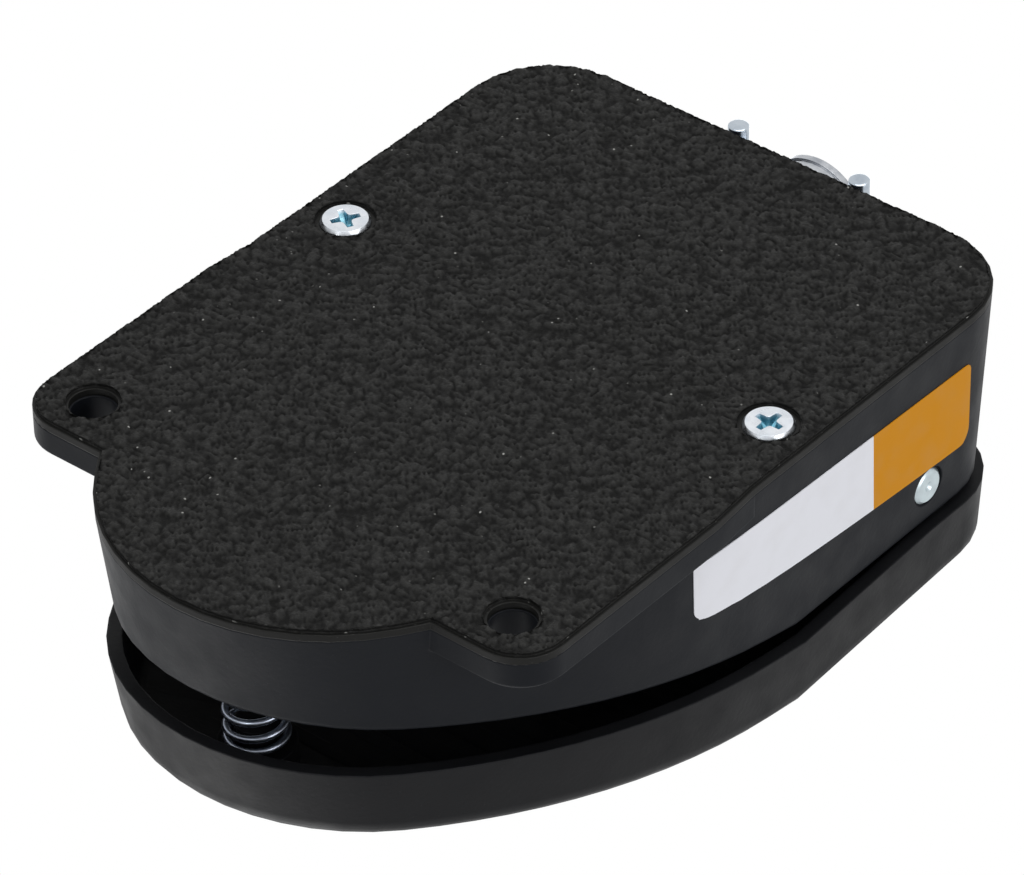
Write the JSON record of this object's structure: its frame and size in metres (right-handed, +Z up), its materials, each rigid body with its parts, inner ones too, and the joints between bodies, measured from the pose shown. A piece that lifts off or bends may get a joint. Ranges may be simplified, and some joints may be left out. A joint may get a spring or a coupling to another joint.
{
  "type": "industrial foot switch",
  "caption": "Cast wedge-shaped foot switch with a hinged D-shaped treadle, return spring, enclosed snap-action switch and rear cable connector.",
  "frame": {"origin": "on the floor, on the pad's underside, midway between the two floor-mounting holes in the ears", "axes": "+Z up from the floor, +Y to the rear (hinge and cable end), +X to the right seen from the nose; the treadle's nose points to -Y and the label is on the -X side"},
  "size_m": [0.102, 0.1552, 0.056],
  "materials": {
    "housing_paint": "satin black enamel on a casting",
    "treadle_paint": "satin black enamel on a casting",
    "plate_paint": "black enamelled sheet steel",
    "pad_rubber": "matt, coarse wrinkled grain with small light specks",
    "zinc_screws": "bright zinc plate",
    "pin_steel": "pale zinc plate",
    "spring_steel": "bright drawn wire",
    "connector_zinc": "bright die-cast zinc",
    "steel_parts": "plain plated steel",
    "fibre_sheet": "matt insulating fibre",
    "switch_plastic": "matt moulded plastic",
    "cover_plastic": "matt moulded plastic",
    "plunger_plastic": "smooth moulded plastic",
    "terminal_brass": "plain brass",
    "ground_green": "green finish of a ground screw",
    "label_film": "satin printed film, orange and white fields without words"
  },
  "bodies": {
    "base": {"base_housing": "housing_paint", "base_plate": "plate_paint", "non_slip_pad": "pad_rubber", "cover_screws": "zinc_screws", "insulating_sheet": "fibre_sheet", "pivot_pin": "pin_steel", "return_spring": "spring_steel", "lever_pin": "steel_parts", "switch_case": "switch_plastic", "switch_cover": "cover_plastic", "switch_terminals": "terminal_brass", "terminal_screws": "steel_parts", "switch_mounting_screws": "steel_parts", "ground_screw": "ground_green", "connector_body": "connector_zinc", "connector_locknut": "steel_parts", "clamp_saddle": "connector_zinc", "clamp_screws": "zinc_screws", "side_label": "label_film"},
    "treadle": {"treadle": "treadle_paint", "adjusting_screw": "steel_parts", "adjusting_locknut": "steel_parts"},
    "lever": {"actuating_lever": "steel_parts"},
    "plunger": {"switch_plunger": "plunger_plastic"}
  },
  "joints": [
    {"name": "treadle_hinge", "type": "hinge", "parent": "base", "child": "treadle", "pos_m": [0, 0.0922, 0.0295], "axis": [1, 0, 0], "range_deg": [0, 3.3], "stiffness_Nm_per_rad": 8, "springref_deg": -8.59, "deforming": ["return_spring"]},
    {"name": "lever_hinge", "type": "hinge", "parent": "base", "child": "lever", "pos_m": [0, 0.064, 0.0219], "axis": [1, 0, 0], "range_deg": [0, 9.8]},
    {"name": "plunger_slide", "type": "slide", "parent": "base", "child": "plunger", "axis": [0, 0, -1], "range_m": [0, 0.0012]}
  ],
  "couplings": [
    {"joint": "lever_hinge", "follows": "treadle_hinge", "ratio": 2.95},
    {"joint": "plunger_slide", "follows": "treadle_hinge", "m_per_rad": 0.0205}
  ]
}
